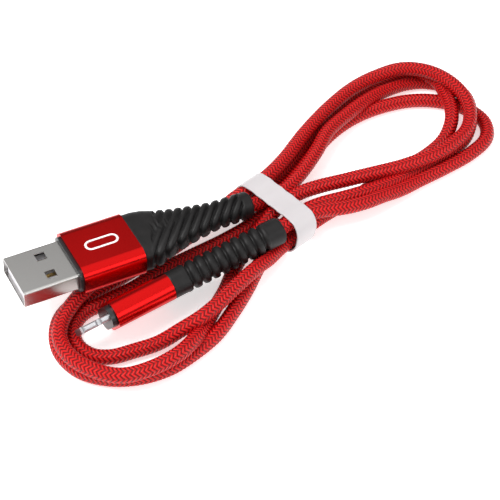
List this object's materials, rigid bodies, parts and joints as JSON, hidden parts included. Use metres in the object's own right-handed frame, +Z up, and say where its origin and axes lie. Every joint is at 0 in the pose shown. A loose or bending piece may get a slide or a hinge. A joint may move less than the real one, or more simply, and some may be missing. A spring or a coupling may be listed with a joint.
{
  "type": "charging cable",
  "caption": "Braided charging cable with a wide flat plug and a small tab plug, wound into a hank and held by a loose band.",
  "frame": {"origin": "on the floor under the middle of the whole hank's box, near the middle of the band", "axes": "+X along the hank, from the plugs' end towards the bare loops; +Y across the hank, towards the wide plug's side; +Z up"},
  "size_m": [0.1286, 0.059, 0.0143],
  "materials": {
    "braid": "woven",
    "band_sheet": "satin",
    "steel": "satin",
    "tongue_plastic": "matte",
    "contact_gold": "polished",
    "collar_plastic": "gloss",
    "red_aluminium": "anodised",
    "mark_paint": "matte",
    "mould_plastic": "matte",
    "wire_plastic": "matte",
    "boot_rubber": "matte",
    "board": "matte"
  },
  "bodies": {
    "cord": {"cord_waist": "braid", "cord_left_loops": "braid", "cord_right_loops": "braid"},
    "band": {"band": "band_sheet"},
    "wide_plug": {"usb_shell": "steel", "usb_shell_rear": "steel", "usb_tongue": "tongue_plastic", "usb_contacts": "contact_gold", "usb_collar": "collar_plastic", "usb_sleeve": "red_aluminium", "usb_mark": "mark_paint", "usb_inner_mould": "mould_plastic", "usb_wires": "wire_plastic", "usb_boot": "boot_rubber", "usb_cord_end": "braid"},
    "tab_plug": {"tab_frame": "steel", "tab_contacts": "contact_gold", "tab_circuit_board": "board", "tab_chip_can": "steel", "tab_collar": "collar_plastic", "tab_sleeve": "red_aluminium", "tab_inner_mould": "mould_plastic", "tab_wires": "wire_plastic", "tab_boot": "boot_rubber", "tab_cord_end": "braid"}
  },
  "joints": [
    {"name": "wide_plug_flex", "type": "hinge", "parent": "cord", "child": "wide_plug", "pos_m": [-0.00581, 0.00238, 0.00702], "axis": [0.0209, 0.9998, 0], "range_deg": [0, 40], "deforming": ["usb_boot", "usb_cord_end"]},
    {"name": "tab_plug_flex", "type": "hinge", "parent": "cord", "child": "tab_plug", "pos_m": [-0.00365, -0.00813, 0.00698], "axis": [-0.075, 0.9972, 0], "range_deg": [0, 40], "deforming": ["tab_boot", "tab_cord_end"]},
    {"name": "band_slide", "type": "slide", "parent": "cord", "child": "band", "axis": [0.9744, 0.225, 0], "range_m": [0, 0.002]}
  ]
}
